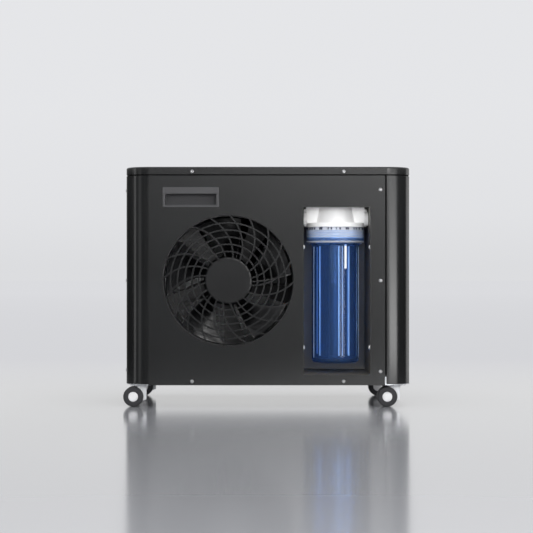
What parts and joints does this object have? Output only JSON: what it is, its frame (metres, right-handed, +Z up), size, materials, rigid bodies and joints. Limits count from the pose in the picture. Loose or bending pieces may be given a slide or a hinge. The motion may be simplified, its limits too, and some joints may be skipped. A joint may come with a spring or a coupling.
{
  "type": "ice bath chiller",
  "caption": "Box-shaped water chiller on swivel casters, with a spiral fan grille and a clear water filter standing in a front niche.",
  "frame": {"origin": "on the floor, under the middle of the whole object's box", "axes": "+X to the right seen from the front, -Y out of the front panel, +Z up"},
  "size_m": [0.5485, 0.4102, 0.455],
  "materials": {
    "powder_coated_steel": "matt charcoal powder coat",
    "grille_plastic": "matt charcoal powder coat",
    "black_frame": "matt black",
    "handle_plastic": "fine moulded grain",
    "zinc_steel": "bright zinc plate",
    "caster_body": "satin",
    "shroud_plastic": "moulded",
    "fan_plastic": "glossy",
    "shaft_steel": "ground",
    "motor_paint": "satin",
    "white_plastic": "smooth",
    "clear_blue": "clear blue moulding",
    "blue_element": "translucent",
    "black_rubber": "matt",
    "grey_tyre": "matt grey rubber",
    "fin_aluminium": "mill",
    "copper_tube": "drawn copper",
    "compressor_paint": "semi-gloss black",
    "stainless": "stainless plate",
    "pipe_plastic": "plain",
    "control_plastic": "fine grain",
    "display_glass": "smoked",
    "button_plastic": "plain",
    "rocker_plastic": "plain"
  },
  "bodies": {
    "case": {"base_pan": "zinc_steel", "front_panel": "powder_coated_steel", "right_panel": "powder_coated_steel", "rear_panel": "powder_coated_steel", "left_panel": "powder_coated_steel", "top_lid": "powder_coated_steel", "top_frame": "black_frame", "partition": "zinc_steel", "handle_insert": "handle_plastic", "niche_liner": "powder_coated_steel", "fan_grille": "grille_plastic", "fan_shroud": "shroud_plastic", "fan_motor": "motor_paint", "filter_bracket": "zinc_steel", "filter_head": "white_plastic", "sump_seal": "black_rubber", "condenser_fins": "fin_aluminium", "condenser_tubes": "copper_tube", "compressor": "compressor_paint", "compressor_mounts": "black_rubber", "heat_exchanger": "stainless", "drier": "copper_tube", "refrigerant_lines": "copper_tube", "water_pump": "shroud_plastic", "water_lines": "pipe_plastic", "inlet_fitting": "shroud_plastic", "outlet_fitting": "shroud_plastic", "drain_plug": "shroud_plastic", "control_box": "shroud_plastic", "controller": "control_plastic", "display_window": "display_glass", "power_inlet": "shroud_plastic", "switch_frame": "shroud_plastic", "lid_screws": "zinc_steel", "panel_screws": "zinc_steel", "niche_screws": "zinc_steel", "caster_plates": "zinc_steel"},
    "fan": {"fan": "fan_plastic", "fan_shaft": "shaft_steel"},
    "filter_element": {"filter_element": "blue_element"},
    "filter_sump": {"filter_sump": "clear_blue"},
    "button_set": {"button_set": "button_plastic"},
    "button_up": {"button_up": "button_plastic"},
    "button_down": {"button_down": "button_plastic"},
    "power_rocker": {"power_rocker": "rocker_plastic"},
    "caster_front_left": {"caster_fork_front_left": "caster_body"},
    "wheels_front_left": {"caster_hubs_front_left": "white_plastic", "caster_tyres_front_left": "grey_tyre"},
    "caster_front_right": {"caster_fork_front_right": "caster_body"},
    "wheels_front_right": {"caster_hubs_front_right": "white_plastic", "caster_tyres_front_right": "grey_tyre"},
    "caster_rear_left": {"caster_fork_rear_left": "caster_body"},
    "wheels_rear_left": {"caster_hubs_rear_left": "white_plastic", "caster_tyres_rear_left": "grey_tyre"},
    "caster_rear_right": {"caster_fork_rear_right": "caster_body"},
    "wheels_rear_right": {"caster_hubs_rear_right": "white_plastic", "caster_tyres_rear_right": "grey_tyre"}
  },
  "joints": [
    {"name": "fan_spin", "type": "hinge", "parent": "case", "child": "fan", "pos_m": [-0.07335, -0.2029, 0.2405], "axis": [0, 1, 0], "continuous": true},
    {"name": "sump_drop", "type": "slide", "parent": "case", "child": "filter_element", "axis": [0, 0, -1], "range_m": [0, 0.01501]},
    {"name": "sump_turn", "type": "hinge", "parent": "filter_element", "child": "filter_sump", "pos_m": [0.13185, -0.1179, 0.0822], "axis": [0, 0, -1], "range_deg": [0, 900]},
    {"name": "button_set_press", "type": "slide", "parent": "case", "child": "button_set", "axis": [-1, 0, 0], "range_m": [0, 0.001], "stiffness_N_per_m": 1500},
    {"name": "button_up_press", "type": "slide", "parent": "case", "child": "button_up", "axis": [-1, 0, 0], "range_m": [0, 0.001], "stiffness_N_per_m": 1500},
    {"name": "button_down_press", "type": "slide", "parent": "case", "child": "button_down", "axis": [-1, 0, 0], "range_m": [0, 0.001], "stiffness_N_per_m": 1500},
    {"name": "power_rocker_tilt", "type": "hinge", "parent": "case", "child": "power_rocker", "pos_m": [0.14515, 0.1711, 0.237], "axis": [1, 0, 0], "range_deg": [0, 18]},
    {"name": "swivel_front_left", "type": "hinge", "parent": "case", "child": "caster_front_left", "pos_m": [-0.24035, -0.1579, 0.04], "axis": [0, 0, 1], "continuous": true},
    {"name": "roll_front_left", "type": "hinge", "parent": "caster_front_left", "child": "wheels_front_left", "pos_m": [-0.25485, -0.1579, 0.019], "axis": [0, 1, 0], "continuous": true},
    {"name": "swivel_front_right", "type": "hinge", "parent": "case", "child": "caster_front_right", "pos_m": [0.24365, -0.1579, 0.04], "axis": [0, 0, 1], "continuous": true},
    {"name": "roll_front_right", "type": "hinge", "parent": "caster_front_right", "child": "wheels_front_right", "pos_m": [0.22915, -0.1579, 0.019], "axis": [0, 1, 0], "continuous": true},
    {"name": "swivel_rear_left", "type": "hinge", "parent": "case", "child": "caster_rear_left", "pos_m": [-0.24035, 0.1321, 0.04], "axis": [0, 0, 1], "continuous": true},
    {"name": "roll_rear_left", "type": "hinge", "parent": "caster_rear_left", "child": "wheels_rear_left", "pos_m": [-0.25485, 0.1321, 0.019], "axis": [0, 1, 0], "continuous": true},
    {"name": "swivel_rear_right", "type": "hinge", "parent": "case", "child": "caster_rear_right", "pos_m": [0.24365, 0.1321, 0.04], "axis": [0, 0, 1], "continuous": true},
    {"name": "roll_rear_right", "type": "hinge", "parent": "caster_rear_right", "child": "wheels_rear_right", "pos_m": [0.22915, 0.1321, 0.019], "axis": [0, 1, 0], "continuous": true}
  ],
  "couplings": [
    {"joint": "sump_drop", "follows": "sump_turn", "m_per_rad": 0.0009549}
  ]
}
